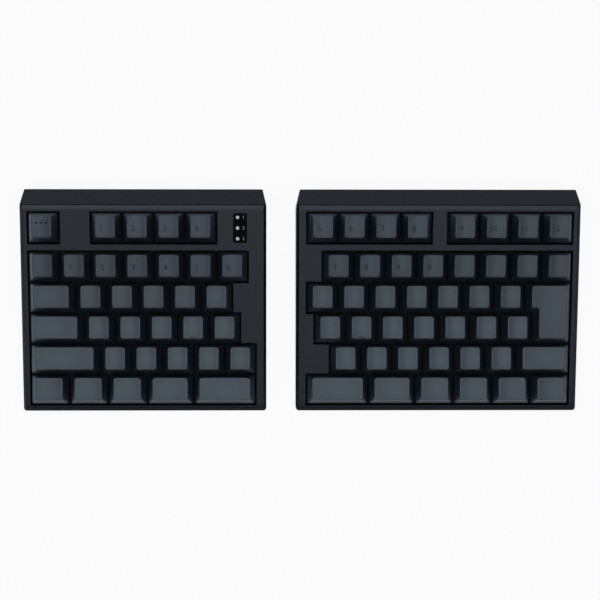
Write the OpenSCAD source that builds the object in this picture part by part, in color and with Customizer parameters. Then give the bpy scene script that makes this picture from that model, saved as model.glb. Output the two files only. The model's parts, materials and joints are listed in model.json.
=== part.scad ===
// Ergonomic split keyboard: two wedge-shaped halves with sculpted keys on travelling switches.
// Millimetres. +X is towards the right half, +Y towards the back, +Z up.
// The origin is on the desk, under the middle of the two halves.

/* [Layout] */
// Key pitch, which is one key unit
unit = 19.05; // [18:0.05:20]
// Typing angle of the key deck, in degrees
tilt = 8; // [5:0.5:10]
// Clear space between the two halves
half_gap = 18.2; // [4:0.1:80]
// Closed strip between the function row and the number row, in key units
row_gap = 0.25; // [0.2:0.05:0.4]

/* [Case] */
// Case margin beside the key block, on the outer side
side_margin = 4.8; // [4.6:0.1:9]
// Case margin beside the key block, on the inner side
inner_margin = 6.4; // [5:0.1:9]
// Case margin in front of the key block
front_margin = 3.8; // [3.6:0.1:8]
// Case margin from the key block to the ridge behind it
back_margin = 4.2; // [4:0.1:9]
// Height of the front top edge over the desk
front_height = 18.4; // [18:0.1:24]
// Level run of the sloping facet behind the ridge
facet_run = 10.1; // [8:0.1:14]
// Drop of the sloping facet behind the ridge
facet_drop = 6.2; // [3:0.1:8]
// How far the tail tapers in on each side behind the ridge
tail_in = 2.3; // [0.5:0.1:4]
// Radius of the two front corners in plan
corner_r = 2; // [1:0.1:4]
// Chamfer along the top side edges and the front edge
edge_chamfer = 1.6; // [0.8:0.1:2]
// Wall of both case shells
wall = 2.4; // [2:0.1:2.6]
// Thickness of the top panel
top_t = 2.2; // [1.8:0.1:3]
// Thickness of the floor
floor_t = 2.2; // [2:0.1:3]
// Height of the seam between the shells
seam_z = 8; // [7:0.1:9]
// Height of the locating lip over the seam
lip_h = 1.6; // [1.2:0.1:1.7]
// Thickness of the locating lip
lip_t = 1.2; // [0.8:0.1:1.4]
// Depth and height of the shadow line along the seam
reveal = 0.4; // [0.2:0.1:0.6]
// Bezel height over the switch plate
bezel = 7; // [6:0.1:8]
// How far the sockets sit in from the back face
port_recess = 4.4; // [4:0.1:6]

/* [Clearances] */
// Between a key well and its key cells
well_gap = 0.35; // [0.2:0.05:0.6]
// Between shells, boards and other still parts
fit = 0.15; // [0.1:0.05:0.25]
// Between the case and the edges of the plate and the board
edge_gap = 0.4; // [0.3:0.05:0.8]
// Beside a slider in its housing
slide_gap = 0.2; // [0.1:0.05:0.3]
// Round a hinge pin
pin_gap = 0.3; // [0.2:0.05:0.4]
// Between a stabilizer and the switch flange beside it
stab_gap = 0.54; // [0.3:0.02:0.7]
// Between a plate screw's head and the switch flanges beside it
head_gap = 0.125; // [0.05:0.025:0.2]

/* [Keys] */
// Space between neighbouring keycaps at their rims
cap_gap = 0.95; // [0.7:0.05:1.4]
// Height of the keycap rims over the plate
rim = 6; // [5.5:0.1:6.5]
// Height of the stem tops over the plate
stem_top = 10.2; // [10:0.1:10.6]
// Key travel
travel = 4; // [3:0.1:4]
// How far a keycap leans in at each side
cap_side = 3.05; // [2.4:0.05:3.4]
// How far a keycap leans in at the front
cap_front = 4.2; // [3:0.1:4.4]
// How far a keycap leans in at the back
cap_back = 0.2; // [0.1:0.1:1]
// Wall of a keycap
cap_wall = 1.3; // [1:0.1:1.5]
// Top thickness of a keycap
cap_top = 1.5; // [1.3:0.1:1.8]
// Depth of the dish in a keycap
dish = 0.6; // [0.3:0.1:0.8]
// Width of the soft edge round a keycap's top
cap_bevel = 0.4; // [0.2:0.1:0.6]

/* [Switches] */
// Plate thickness
plate_t = 1.5; // [1.2:0.1:1.6]
// Circuit board thickness
board_t = 1.6; // [1.4:0.1:1.6]
// Plate top to board top
board_drop = 5; // [4.8:0.1:5.2]
// Switch body width
body_w = 13.8; // [13.6:0.1:13.9]
// Switch flange width
flange_w = 15.6; // [15:0.1:15.8]
// Spacing of the stabilizer stems from the middle of a wide key
stab_off = 11.94; // [11.8:0.02:12.1]

/* [Feet] */
// How far the rubber feet stand out under the case
foot_h = 1.2; // [0.8:0.1:1.6]
// Length of a folding foot from pivot to tip
leg_len = 26; // [20:0.5:30]
// Width of a folding foot
leg_w = 20; // [14:0.5:24]
// Thickness of a folding foot
leg_t = 3.4; // [3:0.1:3.6]
// Pivot pin diameter of a folding foot
leg_pin = 3; // [2.6:0.1:3.2]

/* [Hidden] */
$fn = 48;
e = 0.01;

// Rows count from the front: 0 bottom, 1 lower, 2 home, 3 upper, 4 number, 5 function.
// Each entry: row, first edge in units, key widths in units.
left_rows = [
  [0, 0, [1.25, 1.25, 1.25, 1.5, 2]],
  [1, 0, [2.25, 1, 1, 1, 1, 1]],
  [2, 0, [1.75, 1, 1, 1, 1, 1]],
  [3, 0, [1.5, 1, 1, 1, 1, 1]],
  [4, 0, [1, 1, 1, 1, 1, 1, 1]],
  [5, 0, [1]],
  [5, 2, [1, 1, 1, 1]]];
right_rows = [
  [0, 0, [2, 1.5, 1.25, 1.25, 1.25, 1.25]],
  [1, 0.75, [1, 1, 1, 1, 1, 1, 1.75]],
  [2, 0.25, [1, 1, 1, 1, 1, 1, 1]],
  [3, 0, [1, 1, 1, 1, 1, 1, 1]],
  [4, 0.5, [1, 1, 1, 1, 1, 1, 1, 1]],
  [5, 0, [1, 1, 1, 1]],
  [5, 4.5, [1, 1, 1, 1]]];
rows = [left_rows, right_rows];
block_u = [7.25, 8.5];
// The stepped return key: right edge, upper left edge and lower left edge, in units.
return_r = 8.5;
return_u = 7;
return_l = 7.25;
// Height and slope of the keycap tops, by row.
cap_h = [8.5, 8.4, 8.6, 9.3, 10.8, 10.8];
cap_tilt = [-9, -8, -5, -1, 3, 3];

block_d = (6 + row_gap) * unit;
deck_len = front_margin + block_d + back_margin;
ridge_y = deck_len * cos(tilt);
ridge_z = front_height + deck_len * sin(tilt);
depth = ridge_y + facet_run;
// Case margins at the left and at the right of each key block.
margins = [[side_margin, inner_margin], [inner_margin, side_margin]];
case_w = [for (b = block_u) b * unit + side_margin + inner_margin];
total_w = case_w[0] + half_gap + case_w[1];
case_x = [-total_w / 2, -total_w / 2 + case_w[0] + half_gap];
block_x = [case_x[0] + margins[0][0], case_x[1] + margins[1][0]];
deck_y = -depth / 2 + front_margin * cos(tilt) + bezel * sin(tilt);
deck_z = front_height + front_margin * sin(tilt) - bezel * cos(tilt);
base_z = foot_h;
floor_z = foot_h + floor_t;
housing_top = rim + 0.6;
board_z = -board_drop - board_t;
flange_t = 1;
stab_edge = stab_off - flange_w / 2 - stab_gap;

// Case screw bosses and plate posts, in units across and up the deck.
bosses = [
  [[1.5, 5.5 + row_gap], [7.2, 4.6], [7, 2.5]],
  [[4.25, 5.5 + row_gap], [0.22, 4.5], [0.36, 1.5]]];
posts = [
  [[2.5, 1], [5.35, 1], [1.4, 4], [5, 4], [4, 5.5 + row_gap]],
  [[2.1, 1], [6.62, 1], [2, 4], [6.5, 4], [2, 5.5 + row_gap], [6.5, 5.5 + row_gap]]];
boss_d = 6.4;
post_d = 4.2;
sockets = [[2.9, 6.55], [0.7]];

// Indicator strip: middle and size on the deck.
strip_u = 6.75 * unit;
strip_v = (5.5 + row_gap) * unit;
strip_w = 8.1;
strip_d = 18;
strip_t = 1.2;
strip_r = 1;
led_du = -1.55;
led_dv = 6.5;
guide_d = 2;

// Folding foot pivots.
leg_y = depth / 2 - 17;
leg_z = base_z + 2.9;
// Folding foot middles from the left and right side of each half.
leg_in = [[18, 24], [30, 18]];
pocket_h = 5.6;
pocket_w = leg_w + 2 * pin_gap + 0.4;

function row_v(r) = (r < 5 ? r : 5 + row_gap) * unit + unit / 2;
function sum_to(v, n) = n <= 0 ? 0 : v[n - 1] + sum_to(v, n - 1);
function row_end(r) = r[1] + sum_to(r[2], len(r[2]));
function row_spots(r) =
  [for (i = [0:len(r[2]) - 1])
    [(r[1] + sum_to(r[2], i) + r[2][i] / 2) * unit, row_v(r[0])]];
return_spot = [(return_l + return_r) / 2 * unit, 3 * unit];
function spots(h) =
  concat([for (r = rows[h]) each row_spots(r)], h == 1 ? [return_spot] : []);
// Stabilized keys: middle of the key and turn of its pair.
function stabs(h) =
  h == 0 ? [[[1.125 * unit, row_v(1)], 0], [[6.25 * unit, row_v(0)], 0]]
    : [[[1 * unit, row_v(0)], 0], [return_spot, 90]];
function deck_v(y, w) = (y - (bezel - w) * sin(tilt)) / cos(tilt) - front_margin;
function spot_xy(h, p) =
  [block_x[h] + p[0] * unit, deck_y + p[1] * unit * cos(tilt)];

module deck(h) {
  translate([block_x[h], deck_y, deck_z]) rotate([tilt, 0, 0]) children();
}

module box(x0, x1, y0, y1, z0, z1) {
  translate([x0, y0, z0]) cube([x1 - x0, y1 - y0, z1 - z0]);
}

module at_spots(list) {
  for (p = list) translate([p[0], p[1], 0]) children();
}

// Plan of a half, drawn in by d, with rounded front corners and a tapered tail.
module plan(h, d, r) {
  w = case_w[h];
  polygon([[d + r, d], [w - d - r, d], [w - d, d + r], [w - d, ridge_y], [w - d - tail_in, depth - d],
    [d + tail_in, depth - d], [d, ridge_y], [d, d + r]]);
  translate([d + r, d + r]) circle(r);
  translate([w - d - r, d + r]) circle(r);
}

module plan_inner(h, d) {
  w = case_w[h];
  polygon([[d, d], [w - d, d], [w - d, ridge_y - 0.3], [w - d - tail_in, depth - d],
    [d + tail_in, depth - d], [d, ridge_y - 0.3]]);
}

// A side profile drawn across the half.
module side(h, pts) {
  rotate([90, 0, 90]) linear_extrude(case_w[h]) polygon(pts);
}

module half_place(h) {
  translate([case_x[h], -depth / 2, 0]) children();
}

// Key wells: one box for each run of keys, so the edge steps with the rows.
module wells(h, grow, w0, w1) {
  for (r = rows[h])
    box(r[1] * unit - grow, max(row_end(r), h == 1 && r[0] > 1 && r[0] < 4 ? return_r : 0) * unit + grow,
      row_v(r[0]) - unit / 2 - grow, row_v(r[0]) + unit / 2 + grow, w0, w1);
}

module top_shell(h) {
  s = sin(tilt);
  c = cos(tilt);
  in_z = top_t / c;
  k = facet_drop / facet_run;
  in_f = top_t * sqrt(1 + k * k);
  in_y = ridge_y - (in_f - in_z) / (tan(tilt) + k);
  in_r = front_height + in_y * tan(tilt) - in_z;
  back_z = ridge_z - facet_drop;
  difference() {
    intersection() {
      side(h, [[0, seam_z], [depth, seam_z], [depth, back_z], [ridge_y + 0.5, ridge_z - 0.5 * k],
        [ridge_y - 0.5, ridge_z - 0.5 * tan(tilt)], [0, front_height]]);
      linear_extrude(front_height + 60) plan(h, 0, corner_r);
    }
    intersection() {
      side(h, [[0, seam_z - 1], [depth, seam_z - 1], [depth, back_z + wall * k - in_f],
        [in_y, in_r], [0, front_height - in_z]]);
      translate([0, 0, -1]) linear_extrude(front_height + 60) plan_inner(h, wall);
    }
  }
}

// Wedges that chamfer the top edges along the sides and the front.
module edge_cuts(h) {
  w = block_u[h] * unit;
  a = edge_chamfer * sqrt(2);
  for (x = [-margins[h][0], w + margins[h][1]])
    translate([x, 0, bezel]) rotate([0, 45, 0]) cube([a, 3 * block_d, a], center = true);
  translate([w / 2, -front_margin, bezel]) rotate([45, 0, 0]) cube([3 * w, a, a], center = true);
}

module top_case(h) {
  w = case_w[h];
  difference() {
    union() {
      half_place(h) top_shell(h);
      deck(h) difference() {
        wells(h, well_gap + 1.4, 0.1, bezel - top_t / 2);
        wells(h, well_gap, -1, bezel + 5);
      }
      for (p = bosses[h]) {
        q = spot_xy(h, p);
        top = deck_z + p[1] * unit * sin(tilt) + bezel - top_t / 2;
        translate([q[0], q[1], seam_z]) cylinder(d = boss_d, h = top - seam_z);
      }
    }
    deck(h) wells(h, well_gap, -1, bezel + 5);
    deck(h) edge_cuts(h);
    for (p = bosses[h]) {
      q = spot_xy(h, p);
      translate([q[0], q[1], seam_z - 1]) cylinder(d = 2.6, h = 8);
    }
    for (p = sockets[h]) deck(h) socket_cut(p);
    if (h == 0) deck(0) strip_cut();
    half_place(h) snap_tabs(h, 0.3);
    half_place(h) translate([0, 0, seam_z - e]) linear_extrude(reveal + e) difference() {
      plan(h, -1, corner_r);
      plan(h, reveal, corner_r);
    }
  }
}

// Snap tabs on the locating lip, and the pockets for them when grown.
module snap_tabs(h, grow) {
  w = case_w[h];
  x1 = h == 0 ? wall + fit : w - wall - fit;
  for (x = [0.22, 0.5, 0.78])
    box(x * w - 5 - grow, x * w + 5 + grow, wall + fit - 0.5 - grow, wall + fit + 0.3,
      seam_z + 0.5 - grow / 2, seam_z + 1.2 + grow / 2);
  for (y = [32, 92])
    box(x1 - (h == 0 ? 0.5 + grow : 0.3), x1 + (h == 0 ? 0.3 : 0.5 + grow), y - 5 - grow, y + 5 + grow,
      seam_z + 0.5 - grow / 2, seam_z + 1.2 + grow / 2);
}

module bottom_case(h) {
  w = case_w[h];
  ch = 0.9;
  difference() {
    union() {
      half_place(h) difference() {
        union() {
          intersection() {
            side(h, [[ch, base_z], [depth - ch, base_z], [depth, base_z + ch], [depth, seam_z],
              [0, seam_z], [0, base_z + ch]]);
            linear_extrude(seam_z + 1) plan(h, 0, corner_r);
          }
          difference() {
            translate([0, 0, seam_z - 1]) linear_extrude(1 + lip_h) plan_inner(h, wall + fit);
            translate([0, 0, seam_z - 2]) linear_extrude(4 + lip_h) plan_inner(h, wall + fit + lip_t);
          }
        }
        translate([0, 0, floor_z]) linear_extrude(30) plan_inner(h, wall + fit + lip_t);
        for (x = [0, w])
          translate([x, 0, base_z]) rotate([0, 45, 0])
            cube([ch * sqrt(2), 4 * depth, ch * sqrt(2)], center = true);
      }
      half_place(h) snap_tabs(h, 0);
      half_place(h) floor_ribs(h);
      for (p = bosses[h]) {
        q = spot_xy(h, p);
        translate([q[0], q[1], base_z + 0.5]) cylinder(d = boss_d + 1.2, h = seam_z - base_z - 0.5);
      }
      deck(h) for (p = posts[h]) {
        drop = (deck_z + p[1] * unit * sin(tilt) - base_z - floor_t / 2) / cos(tilt);
        translate([p[0] * unit, p[1] * unit, -drop]) cylinder(d = post_d, h = drop - plate_t);
      }
      for (x = leg_x(h))
        box(x - pocket_w / 2 - 2.2, x + pocket_w / 2 + 2.2, leg_y - leg_len - 2.4, leg_y + 6,
          base_z + 0.5, base_z + pocket_h + 1.6);
    }
    for (p = bosses[h]) {
      q = spot_xy(h, p);
      translate([q[0], q[1], base_z - 1]) cylinder(d = 5.2, h = 1 + floor_t + 1.6);
      translate([q[0], q[1], base_z - 1]) cylinder(d = 2.9, h = seam_z);
    }
    deck(h) for (p = posts[h])
      translate([p[0] * unit, p[1] * unit, -plate_t - 7]) cylinder(d = 2, h = 8);
    for (p = foot_spots(h))
      translate([p[0], p[1], base_z - 1]) pad(16.3, 6.3, 1.8);
    for (x = leg_x(h)) {
      box(x - pocket_w / 2, x + pocket_w / 2, leg_y - leg_len - 0.6, leg_y + 4.2,
        base_z - 1, base_z + pocket_h);
      box(x - 5, x + 5, leg_y - leg_len - 6, leg_y - leg_len, base_z - 1, base_z + 1.2);
      translate([x, leg_y, leg_z]) rotate([0, 90, 0])
        cylinder(d = leg_pin + 2 * pin_gap, h = pocket_w + 3.6, center = true);
    }
  }
}

module floor_ribs(h) {
  w = case_w[h];
  for (y = [24, 48, 72])
    box(wall + 1, w - wall - 1, y - 0.6, y + 0.6, base_z + 0.5, floor_z + 1);
  for (x = [w / 4, w / 2, 3 * w / 4])
    box(x - 0.6, x + 0.6, wall + 1, 76, base_z + 0.5, floor_z + 1);
}

// A pad with round ends, centred, rising from 0.
module pad(l, d, t) {
  for (s = [-1, 1]) translate([s * (l - d) / 2, 0, 0]) cylinder(d = d, h = t);
  box(-(l - d) / 2, (l - d) / 2, -d / 2, d / 2, 0, t);
}

function foot_spots(h) =
  [for (y = [-depth / 2 + 8, depth / 2 - 6]) for (x = [14, case_w[h] - 14]) [case_x[h] + x, y]];
function leg_x(h) = [case_x[h] + leg_in[h][0], case_x[h] + case_w[h] - leg_in[h][1]];

module rubber_feet(h) {
  for (p = foot_spots(h)) translate([p[0], p[1], 0]) difference() {
    pad(16, 6, foot_h + 0.8);
    translate([0, 0, -1]) pad(11, 1.2, 1.3);
  }
}

module switch_plate(h) {
  in = wall + edge_gap;
  difference() {
    deck(h) difference() {
      box(in - margins[h][0], block_u[h] * unit + margins[h][1] - in, deck_v(wall, 0) + edge_gap,
        block_d + back_margin / 2, -plate_t, 0);
      at_spots(spots(h)) cube([body_w + 0.2, body_w + 0.2, 9], center = true);
      for (s = stabs(h)) translate([s[0][0], s[0][1], 0]) rotate(s[1])
        for (t = [-1, 1]) translate([t * stab_off, 0, 0]) cube([6.5, 11.9, 9], center = true);
      for (p = posts[h]) translate([p[0] * unit, p[1] * unit, 0]) cylinder(d = 2.2, h = 9, center = true);
    }
    for (p = bosses[h]) {
      q = spot_xy(h, p);
      translate([q[0], q[1], 0]) cylinder(d = boss_d + 1, h = 90);
    }
    if (h == 0) deck(0) for (i = [-1, 0, 1])
      translate([strip_u + led_du, strip_v + i * led_dv, 0])
        cylinder(d = guide_d + 0.8, h = 9, center = true);
  }
}

board_back = deck_v(depth - port_recess, -board_drop) - 2 * edge_gap;

module circuit_board(h) {
  in = wall + fit + lip_t + edge_gap;
  difference() {
    deck(h) difference() {
      box(in - margins[h][0], block_u[h] * unit + margins[h][1] - in, deck_v(in, -board_drop),
        board_back, board_z, -board_drop);
      at_spots(spots(h)) translate([0, 0, board_z - 1]) cylinder(d = 4.2, h = 4);
      for (p = posts[h])
        translate([p[0] * unit, p[1] * unit, board_z - 1]) cylinder(d = post_d + 0.8, h = 4);
    }
    for (p = bosses[h]) {
      q = spot_xy(h, p);
      translate([q[0], q[1], 0]) cylinder(d = boss_d + 1, h = 90);
    }
  }
}

module board_parts(h) {
  deck(h) {
    box(3.6 * unit, 3.6 * unit + 10, board_back - 12.5, board_back - 2.5, board_z - 1.2, board_z);
    for (i = [0:3])
      box((4.6 + i * 0.35) * unit, (4.6 + i * 0.35) * unit + 3.2, board_back - 9, board_back - 5.4,
        board_z - 1, board_z);
    if (h == 0) for (i = [-1, 0, 1])
      translate([strip_u + led_du, strip_v + i * led_dv, -board_drop])
        box(-1, 1, -0.7, 0.7, 0, 0.7);
  }
}

module switch_housing() {
  difference() {
    union() {
      box(-body_w / 2, body_w / 2, -body_w / 2, body_w / 2, -board_drop, e);
      box(-flange_w / 2, flange_w / 2, -flange_w / 2, flange_w / 2, 0, flange_t);
      taper(14, 14, 10.4, 8.6, flange_t - e, housing_top);
      translate([0, 0, -board_drop - 3]) cylinder(d = 4, h = 3.5);
    }
    box(-3.5 - slide_gap, 3.5 + slide_gap, -2.9 - slide_gap, 2.9 + slide_gap,
      -travel + 0.2, housing_top + 1);
    box(-3, 3, -body_w / 2 - 1, -5.9, 2, housing_top + 1);
    for (t = [-1, 1]) box(t * 6.7 - 0.4, t * 6.7 + 0.4, -2.5, 2.5, -plate_t - 2.2, -plate_t - 0.2);
  }
}

// A four-sided taper from a lower to an upper rectangle.
module taper(x0, y0, x1, y1, z0, z1) {
  a = [[-x0, -y0, z0], [x0, -y0, z0], [x0, y0, z0], [-x0, y0, z0]];
  b = [[-x1, -y1, z1], [x1, -y1, z1], [x1, y1, z1], [-x1, y1, z1]];
  polyhedron([for (p = concat(a, b)) [p[0] / 2, p[1] / 2, p[2]]],
    [[0, 1, 2, 3], [7, 6, 5, 4], [0, 4, 5, 1], [1, 5, 6, 2], [2, 6, 7, 3], [3, 7, 4, 0]]);
}

module switch_housings(h) {
  deck(h) at_spots(spots(h)) switch_housing();
}

module switch_springs(h) {
  deck(h) at_spots(spots(h)) translate([0, 0, -travel + 0.2]) difference() {
    cylinder(d = 4.4, h = travel + 0.1);
    translate([0, 0, -1]) cylinder(d = 3.6, h = travel + 3);
  }
}

module stabilizers(h) {
  deck(h) for (s = stabs(h)) translate([s[0][0], s[0][1], 0]) rotate(s[1]) {
    for (t = [-1, 1]) translate([t * stab_off, 0, 0]) difference() {
      union() {
        box(-3.1, 3.1, -5.8, 5.8, -board_drop, rim - travel + 0.6);
        box(-stab_edge, stab_edge, -6.6, 6.2, 0, 0.9);
        box(-1.6, 1.6, -9.35, -5, 0, 1.75);
      }
      box(-2 - slide_gap, 2 + slide_gap, -3.4 - slide_gap, 3.4 + slide_gap, -travel + 0.2, 5);
      translate([0, -8.5, 0.95]) rotate([0, 90, 0]) cylinder(d = 1.3, h = 9, center = true);
    }
    translate([0, -8.5, 0.95]) rotate([0, 90, 0])
      cylinder(d = 1.2, h = 2 * stab_off + 4.4, center = true);
  }
}

// Two-part slot outline of a small round-ended socket.
module slot_bar(w, t, l) {
  rotate([-90, 0, 0]) {
    translate([-(w - t) / 2, 0, 0]) cylinder(d = t, h = l);
    translate([(w - t) / 2, 0, 0]) cylinder(d = t, h = l);
    translate([-(w - t) / 2, -t / 2, 0]) cube([w - t, t, l]);
  }
}

socket_w = board_z - 1.6;
socket_v = deck_v(depth - port_recess, socket_w);
// Port window in the back wall, wide enough for a plug's body.
port_w = 13.6;
port_h = 7.6;
port_c = 1.2;

module socket_cut(p) {
  x = port_w / 2;
  z = port_h / 2;
  c = port_c;
  translate([p * unit, socket_v - 1, socket_w]) rotate([90, 0, 0]) translate([0, 0, -9]) linear_extrude(9)
    polygon([[-x + c, -z], [x - c, -z], [x, -z + c], [x, z - c], [x - c, z], [-x + c, z], [-x, z - c],
      [-x, -z + c]]);
}

module socket(p) {
  translate([p * unit, socket_v - 7.4, socket_w]) {
    difference() {
      slot_bar(9, 3.2, 7.4);
      translate([0, 1.2, 0]) slot_bar(8.3, 2.5, 7);
    }
    box(-3.3, 3.3, 1, 6.6, -0.35, 0.35);
  }
}

module case_screws(h) {
  for (p = bosses[h]) {
    q = spot_xy(h, p);
    translate([q[0], q[1], base_z + floor_t + 1.6]) difference() {
      union() {
        translate([0, 0, -1.6]) cylinder(d = 4.6, h = 1.6);
        translate([0, 0, -e]) cylinder(d = 2.5, h = seam_z - base_z - floor_t + 4);
      }
      for (a = [0, 90]) rotate(a) box(-1.4, 1.4, -0.3, 0.3, -2, -0.7);
    }
  }
}

module plate_screws(h) {
  deck(h) for (p = posts[h]) translate([p[0] * unit, p[1] * unit, 0]) difference() {
    union() {
      cylinder(d = unit - flange_w - 2 * head_gap, h = 1.1);
      translate([0, 0, -plate_t - 6]) cylinder(d = 1.9, h = plate_t + 6 + e);
    }
    for (a = [0, 90]) rotate(a) box(-1, 1, -0.22, 0.22, 0.5, 2);
  }
}

// The indicator strip's outline, grown by g, with rounded corners.
module strip_outline(g) {
  x = strip_w / 2 + g;
  y = strip_d / 2 + g;
  r = strip_r + g;
  square([2 * x - 2 * r, 2 * y], center = true);
  square([2 * x, 2 * y - 2 * r], center = true);
  for (sx = [-1, 1]) for (sy = [-1, 1]) translate([sx * (x - r), sy * (y - r)]) circle(r);
}

module strip_cut() {
  translate([strip_u, strip_v, 0]) {
    translate([0, 0, bezel - strip_t]) linear_extrude(strip_t + 1) strip_outline(fit);
    box(-strip_w / 2 + 0.9, strip_w / 2 - 0.9, -strip_d / 2 + 0.9, strip_d / 2 - 0.9, 0, bezel);
  }
}

module indicator_window() {
  deck(0) translate([strip_u, strip_v, 0]) difference() {
    translate([0, 0, bezel - strip_t]) linear_extrude(strip_t - fit) strip_outline(0);
    for (i = [-1, 0, 1]) translate([led_du, i * led_dv, 0]) cylinder(d = guide_d + 0.1, h = bezel + 2);
  }
}

module indicator_light_guides() {
  deck(0) for (i = [-1, 0, 1]) translate([strip_u + led_du, strip_v + i * led_dv, 0]) {
    translate([0, 0, -board_drop + 0.8]) cylinder(d = guide_d, h = bezel - fit + board_drop - 0.8);
    translate([0, 0, 1]) cylinder(d = guide_d + 1, h = bezel - strip_t - 1.1);
  }
}

// A folding foot, stowed flat with its tip towards the front.
module leg(h, i) {
  translate([leg_x(h)[i], leg_y, leg_z]) {
    difference() {
      union() {
        translate([0, 0, -2.5]) linear_extrude(leg_t)
          polygon([[-leg_w / 2, 0], [-leg_w / 2, -leg_len + 3], [-leg_w / 2 + 1.8, -leg_len],
            [leg_w / 2 - 1.8, -leg_len], [leg_w / 2, -leg_len + 3], [leg_w / 2, 0]]);
        rotate([0, 90, 0]) cylinder(d = 5, h = leg_w, center = true);
        rotate([0, 90, 0]) cylinder(d = leg_pin, h = leg_w + 3.2, center = true);
      }
      box(-leg_w / 2 + 3, leg_w / 2 - 3, -leg_len + 4.5, -4, 0, leg_t);
      for (k = [0:2]) box(-6, 6, -leg_len + 1.2 + k * 1.4, -leg_len + 1.9 + k * 1.4, -3, -2.1);
    }
  }
}

// Corner points of a ring rounded with three short segments at each corner.
function soft(a, p, b, r) =
  let (m = r / norm(a - p), n = r / norm(b - p))
  [for (t = [0, 0.35, 0.65, 1]) p + (a - p) * m * pow(1 - t, 2) + (b - p) * n * pow(t, 2)];
function soft_ring(c, r) =
  let (n = len(c))
  [for (i = [0:n - 1])
    each (r == 0 || (n == 6 && i == 0) ? [c[i]] : soft(c[(i + n - 1) % n], c[i], c[(i + 1) % n], r))];
// Outline of a key: a rectangle, or the stepped return key from its inner corner.
function key_ring(k, side, front, back, r) =
  soft_ring(len(k) == 4
    ? [[k[0] + side, k[2] + front], [k[1] - side, k[2] + front], [k[1] - side, k[3] - back],
      [k[0] + side, k[3] - back]]
    : [[k[0] + side, k[4] + front], [k[0] + side, k[2] + front], [k[1] - side, k[2] + front],
      [k[1] - side, k[3] - back], [k[5] + side, k[3] - back], [k[5] + side, k[4] + front]], r);

module loft(rings) {
  n = len(rings[0]);
  m = len(rings);
  polyhedron([for (r = rings) each r],
    concat([[for (i = [0:n - 1]) i]],
      [for (j = [0:m - 2]) for (i = [0:n - 1]) each
        [[j * n + i, (j + 1) * n + i, (j + 1) * n + (i + 1) % n],
          [j * n + i, (j + 1) * n + (i + 1) % n, j * n + (i + 1) % n]]],
      [concat([(m - 1) * n], [for (i = [n - 1:-1:1]) (m - 1) * n + i])]));
}

// A sculpted keycap over outline k, from its rim up: a lofted shell with a sloped, dished top,
// posts with cross sockets at the stems, and a homing bar if asked for.
module keycap(k, r, stems, bar) {
  hgt = cap_h[r];
  sl = tan(cap_tilt[r]);
  vc = (k[2] + cap_front + k[3] - cap_back) / 2;
  xc = (min(k[0], len(k) > 4 ? k[5] : k[0]) + k[1]) / 2;
  half = k[1] - cap_side - cap_bevel - 0.3 - xc;
  dr = (half * half + dish * dish) / (2 * dish);
  lean = 1 - cap_bevel / hgt;
  low = key_ring(k, 0, 0, 0, 0.8);
  mid = key_ring(k, cap_side * lean, cap_front * lean, cap_back * lean, 1.7);
  soft_in = cap_bevel * 0.7;
  top = key_ring(k, cap_side + soft_in, cap_front + soft_in, cap_back + soft_in, 1.6);
  in_low = key_ring(k, cap_wall, cap_wall, cap_wall, 0);
  in_top = key_ring(k, cap_side + cap_wall * 0.7, cap_front + cap_wall * 0.7, cap_back + cap_wall, 0);
  difference() {
    union() {
      difference() {
        loft([[for (p = low) [p[0], p[1], 0]],
          [for (p = mid) [p[0], p[1], hgt - cap_bevel + (p[1] - vc) * sl]],
          [for (p = top) [p[0], p[1], hgt + (p[1] - vc) * sl]]]);
        loft([[for (p = in_low) [p[0], p[1], -e]],
          [for (p = in_top) [p[0], p[1], hgt - cap_top - dish * 0.6 + (p[1] - vc) * sl]]]);
      }
      for (s = stems) translate([s[0], s[1], 0.8])
        cylinder(d = 5.6, h = hgt - dish - 0.8 - cap_top * 0.7 + (s[1] - vc) * sl);
    }
    translate([xc, vc, hgt]) rotate([cap_tilt[r], 0, 0]) translate([0, 0, dr - dish])
      rotate([90, 0, 0]) cylinder(r = dr, h = 4 * unit, center = true, $fn = 128);
    for (s = stems) translate([s[0], s[1], 0]) {
      box(-2.1, 2.1, -0.75, 0.75, 0, stem_top - rim + 0.2);
      box(-0.75, 0.75, -2.1, 2.1, 0, stem_top - rim + 0.2);
    }
  }
  if (bar)
    translate([xc, k[2] + cap_front + 1.6, hgt + (k[2] + cap_front + 1.6 - vc) * sl - dish])
      rotate([cap_tilt[r], 0, 0]) box(-2, 2, -0.4, 0.4, -0.4, 0.4);
}

// The moving stem of a switch, and of a stabilizer.
module stem(hx, hy, w0) {
  box(-hx, hx, -hy, hy, w0, housing_top);
  box(-2, 2, -0.65, 0.65, housing_top - e, stem_top);
  box(-0.65, 0.65, -2, 2, housing_top - e, stem_top);
}

// One key in row r from edge x0, w units wide: keycap, stem and any stabilizer stems.
module key(r, x0, w, bar = false, pair = false) {
  g = cap_gap / 2;
  c = [(x0 + w / 2) * unit, row_v(r)];
  k = [x0 * unit + g, (x0 + w) * unit - g, c[1] - unit / 2 + g, c[1] + unit / 2 - g];
  stems = concat([c], pair ? [c - [stab_off, 0], c + [stab_off, 0]] : []);
  translate([0, 0, rim]) keycap(k, r, stems, bar);
  for (i = [0:len(stems) - 1]) translate([stems[i][0], stems[i][1], 0])
    stem(i == 0 ? 3.5 : 2, i == 0 ? 2.9 : 3.4, 0.4);
}

module keys(r, x0, list) {
  for (i = list) key(r, x0 + i, 1);
}

module return_key() {
  g = cap_gap / 2;
  k = [return_l * unit + g, return_r * unit - g, 2 * unit + g, 4 * unit - g, 3 * unit + g,
    return_u * unit + g];
  stems = [return_spot, return_spot - [0, stab_off], return_spot + [0, stab_off]];
  translate([0, 0, rim]) keycap(k, 3, stems, false);
  for (i = [0:2]) translate([stems[i][0], stems[i][1], 0])
    rotate(i == 0 ? 0 : 90) stem(i == 0 ? 3.5 : 2, i == 0 ? 2.9 : 3.4, 0.4);
}

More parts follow.
